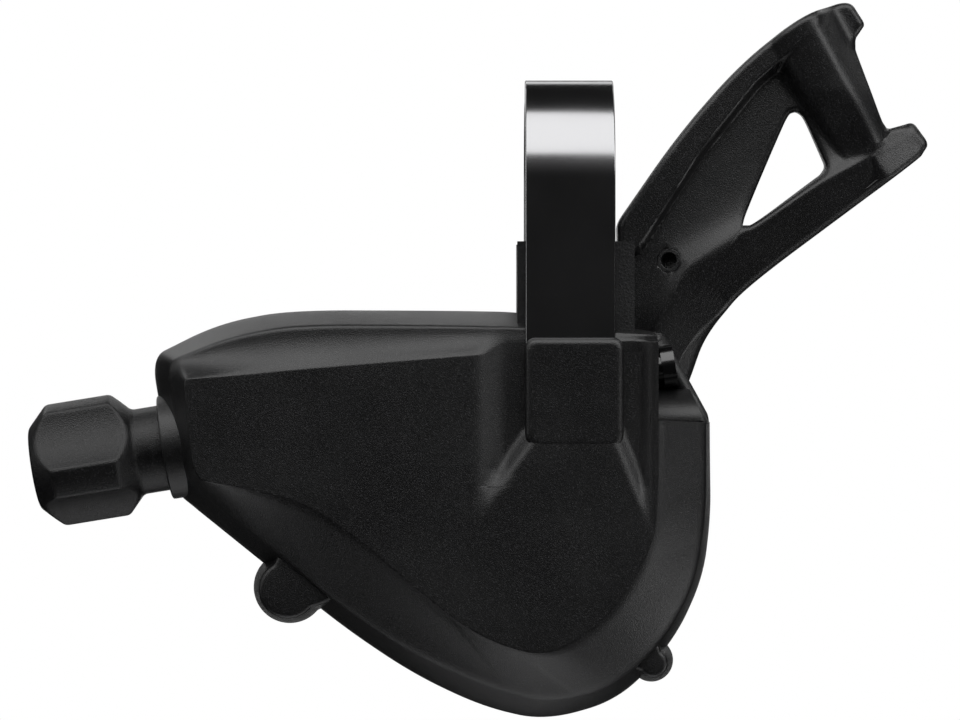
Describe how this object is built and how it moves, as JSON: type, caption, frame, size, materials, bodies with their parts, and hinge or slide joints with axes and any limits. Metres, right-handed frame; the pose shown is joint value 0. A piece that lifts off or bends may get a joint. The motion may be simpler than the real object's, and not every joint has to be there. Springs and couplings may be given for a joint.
{
  "type": "bicycle gear shifter",
  "caption": "Handlebar gear shifter: moulded body under a bar clamp, fluted cable adjuster at its inboard end, and a long thumb lever with an open window.",
  "frame": {"origin": "on the handlebar axis, in the middle of the clamp band's width", "axes": "+X along the handlebar to the outboard side, +Y from the cover to the back of the body, +Z from the body up to the handlebar"},
  "size_m": [0.1263, 0.0391, 0.1004],
  "materials": {
    "cover_plastic": "fine spark-textured black moulding",
    "case_plastic": "fine spark-textured black moulding",
    "lever_plastic": "glass-filled black moulding",
    "knob_plastic": "satin black moulding",
    "band_alloy": "black anodised, polished",
    "bracket_alloy": "black painted casting",
    "plated_steel": "zinc plated",
    "black_steel": "black oxide",
    "spring_steel": "drawn wire",
    "turned_alloy": "turned",
    "bush_plastic": "natural acetal"
  },
  "bodies": {
    "housing": {"top_cover": "cover_plastic", "base_case": "case_plastic", "clamp_band": "band_alloy", "clamp_bracket": "bracket_alloy", "clamp_nut": "plated_steel", "clamp_washer": "black_steel", "clamp_bolt": "black_steel", "bracket_screws": "black_steel", "cover_screws": "black_steel", "band_screw": "black_steel", "support_plate": "plated_steel", "plate_posts": "plated_steel", "plate_screws": "black_steel", "case_bush": "bush_plastic", "hold_pawl_pin": "plated_steel", "hold_pawl_spring": "spring_steel", "lever_spring": "spring_steel", "port_plug": "black_steel"},
    "lever": {"thumb_lever": "lever_plastic", "main_axle": "plated_steel", "axle_nut": "black_steel", "lever_washer": "black_steel", "axle_clip": "spring_steel", "drive_plate": "plated_steel", "drive_pawl_pin": "plated_steel", "drive_pawl_spring": "spring_steel"},
    "drum": {"cable_drum": "turned_alloy", "drum_bush": "bush_plastic"},
    "drive_pawl": {"drive_pawl": "plated_steel"},
    "hold_pawl": {"hold_pawl": "plated_steel"},
    "detent": {"detent_ring": "bush_plastic"},
    "adjuster": {"adjuster_knob": "knob_plastic", "adjuster_screw": "turned_alloy"}
  },
  "joints": [
    {"name": "lever_swing", "type": "hinge", "parent": "housing", "child": "lever", "pos_m": [0.0005, 0, -0.0445], "axis": [0, 1, 0], "range_deg": [0, 30], "stiffness_Nm_per_rad": 0.25},
    {"name": "drum_turn", "type": "hinge", "parent": "housing", "child": "drum", "pos_m": [0.0005, 0, -0.0445], "axis": [0, 1, 0], "range_deg": [0, 30]},
    {"name": "drive_pawl_lift", "type": "hinge", "parent": "lever", "child": "drive_pawl", "pos_m": [-0.01181, 0, -0.04667], "axis": [0, -1, 0], "range_deg": [0, 14], "stiffness_Nm_per_rad": 0.002},
    {"name": "hold_pawl_lift", "type": "hinge", "parent": "housing", "child": "hold_pawl", "pos_m": [-0.002, 0, -0.061], "axis": [0, 1, 0], "range_deg": [0, 14], "stiffness_Nm_per_rad": 0.002},
    {"name": "adjuster_travel", "type": "slide", "parent": "housing", "child": "detent", "axis": [-0.9871, 0, -0.1599], "range_m": [0, 0.003]},
    {"name": "adjuster_turn", "type": "hinge", "parent": "detent", "child": "adjuster", "pos_m": [-0.06138, -0.004, -0.03771], "axis": [-0.9871, 0, -0.1599], "range_deg": [0, 1080]}
  ],
  "couplings": [
    {"joint": "drum_turn", "follows": "lever_swing", "ratio": 1},
    {"joint": "adjuster_turn", "follows": "adjuster_travel", "rad_per_m": 6283.2}
  ]
}
